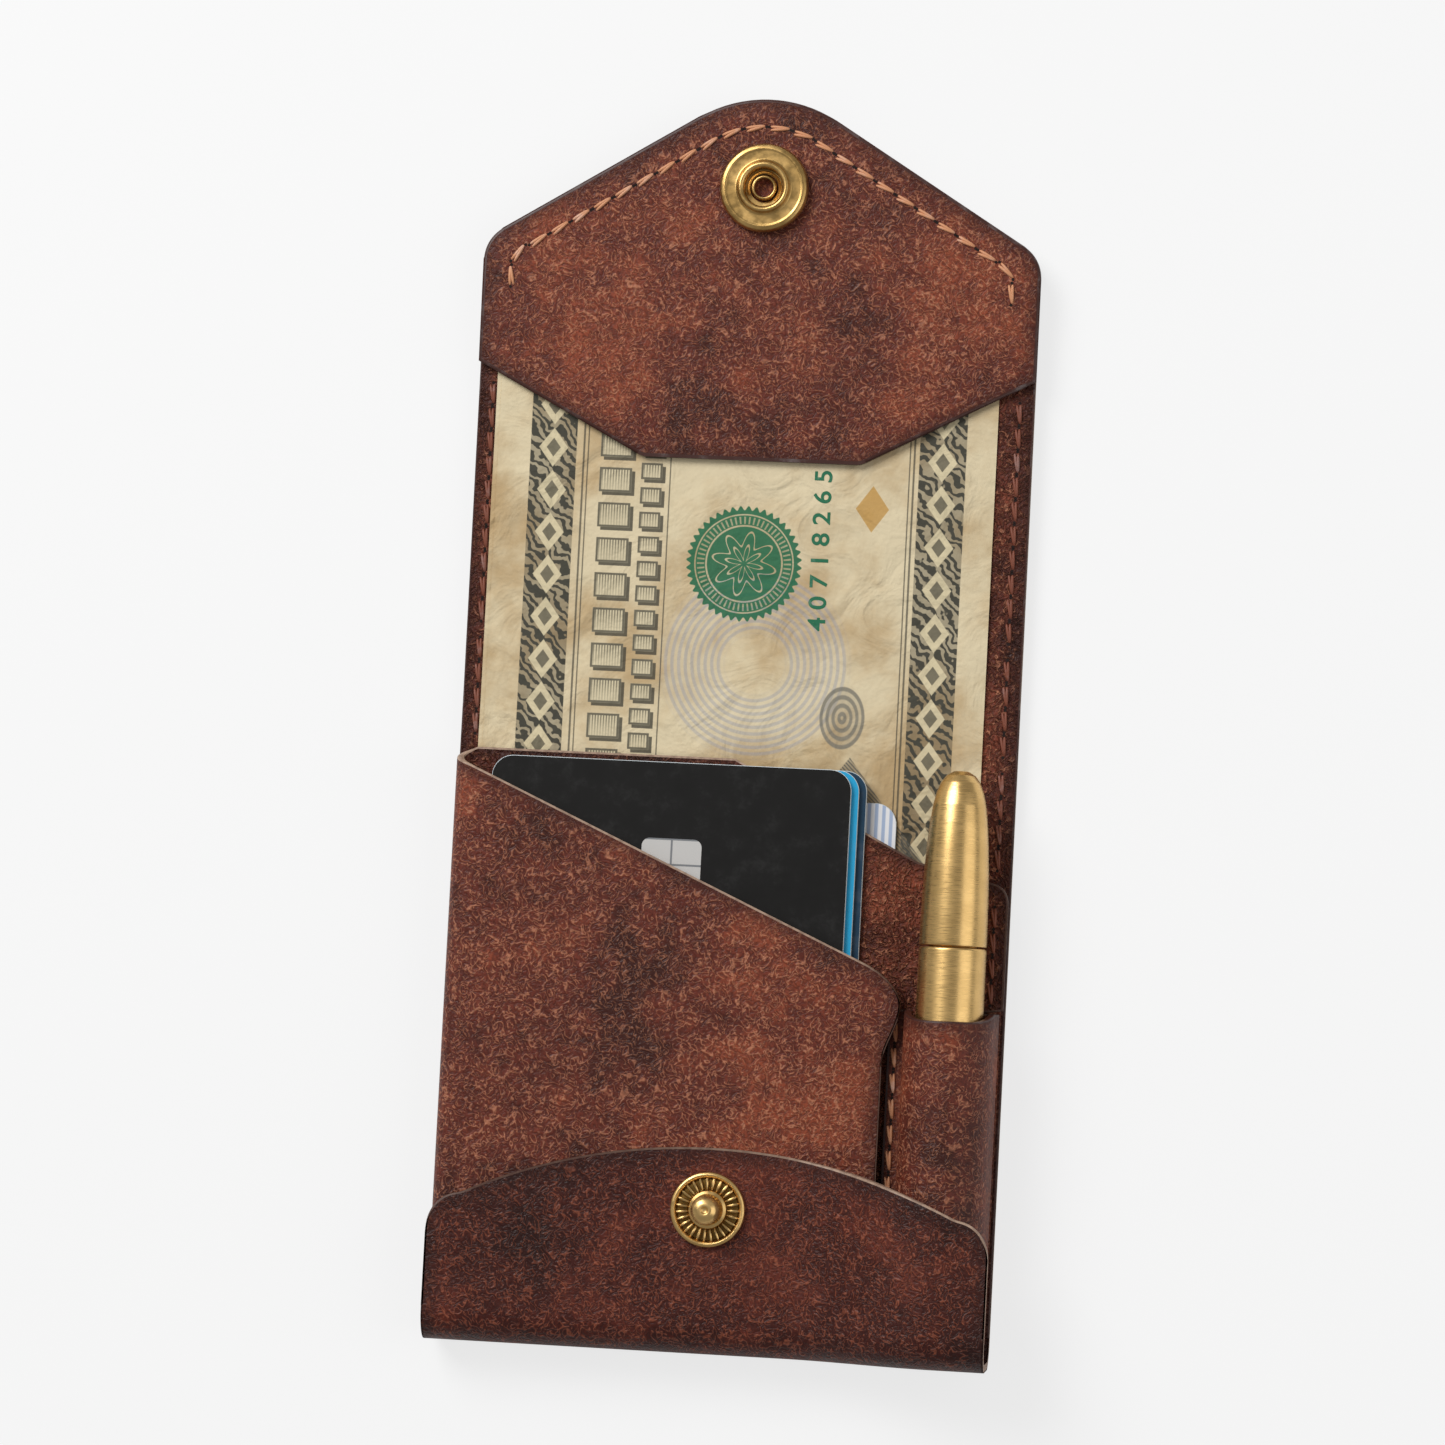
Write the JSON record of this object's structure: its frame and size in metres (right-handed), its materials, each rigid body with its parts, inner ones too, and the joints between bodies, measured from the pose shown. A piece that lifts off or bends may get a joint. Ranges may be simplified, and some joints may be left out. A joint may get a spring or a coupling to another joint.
{
  "type": "snap wallet",
  "caption": "Slim vertical leather snap wallet lying open, with slanted card pocket, note bed under the flap lining, side pen sleeve and curved turned-up front flap.",
  "frame": {"origin": "centre of the open wallet's bounding box in X and Y, on the plane of its underside", "axes": "+Y from the bottom fold to the flap's tip, +X to the pen side, +Z out of the pocket side"},
  "size_m": [0.084, 0.188, 0.0173],
  "materials": {
    "leather": "waxed reddish brown, mottled, satin",
    "lining_leather": "reddish brown, rougher grain",
    "thread": "tan waxed two-ply thread",
    "paper": "cream note paper, worn",
    "card_black": "satin black",
    "card_blue": "satin light blue",
    "card_navy": "satin navy",
    "card_white": "satin white with pale stripes",
    "chip": "brushed silver",
    "brass": "aged satin brass",
    "pen_brass": "finely brushed brass",
    "steel": "bare steel"
  },
  "bodies": {
    "pocket": {"outer_back": "leather", "liner_back": "lining_leather", "pocket_leather": "leather", "welt_right": "lining_leather", "note_under_back": "paper", "note_top_back": "paper", "card_small": "card_white", "card_navy": "card_navy", "card_blue": "card_blue", "card_black": "card_black", "card_chip": "chip", "pen_barrel": "pen_brass", "pen_refill": "steel", "snap_stud": "brass", "stud_rivet": "brass", "thread_left_back": "thread", "thread_right_back": "thread", "thread_pocket_side": "thread", "thread_sleeve": "thread"},
    "pen_top": {"pen_cap": "pen_brass"},
    "spine": {"outer_spine": "leather", "liner_spine": "lining_leather", "note_under_spine": "paper", "note_top_spine": "paper", "thread_left_spine": "thread", "thread_right_spine": "thread"},
    "flap": {"outer_flap": "leather", "liner_flap": "lining_leather", "flap_lining": "leather", "note_under_flap": "paper", "note_top_flap": "paper", "thread_left_flap": "thread", "thread_right_flap": "thread", "thread_flap": "thread", "snap_cap": "brass", "snap_socket": "brass", "snap_spring": "steel"}
  },
  "joints": [
    {"name": "spine_crease", "type": "hinge", "parent": "pocket", "child": "spine", "pos_m": [0, -0.00452, 0.0024], "axis": [1, 0, 0], "range_deg": [0, 90]},
    {"name": "flap_crease", "type": "hinge", "parent": "spine", "child": "flap", "pos_m": [0, 0.01248, 0.0024], "axis": [1, 0, 0], "range_deg": [0, 89.6]},
    {"name": "cap_turn", "type": "hinge", "parent": "pocket", "child": "pen_top", "pos_m": [0.0342, -0.03202, 0.0095], "axis": [0, 1, 0], "continuous": true}
  ]
}
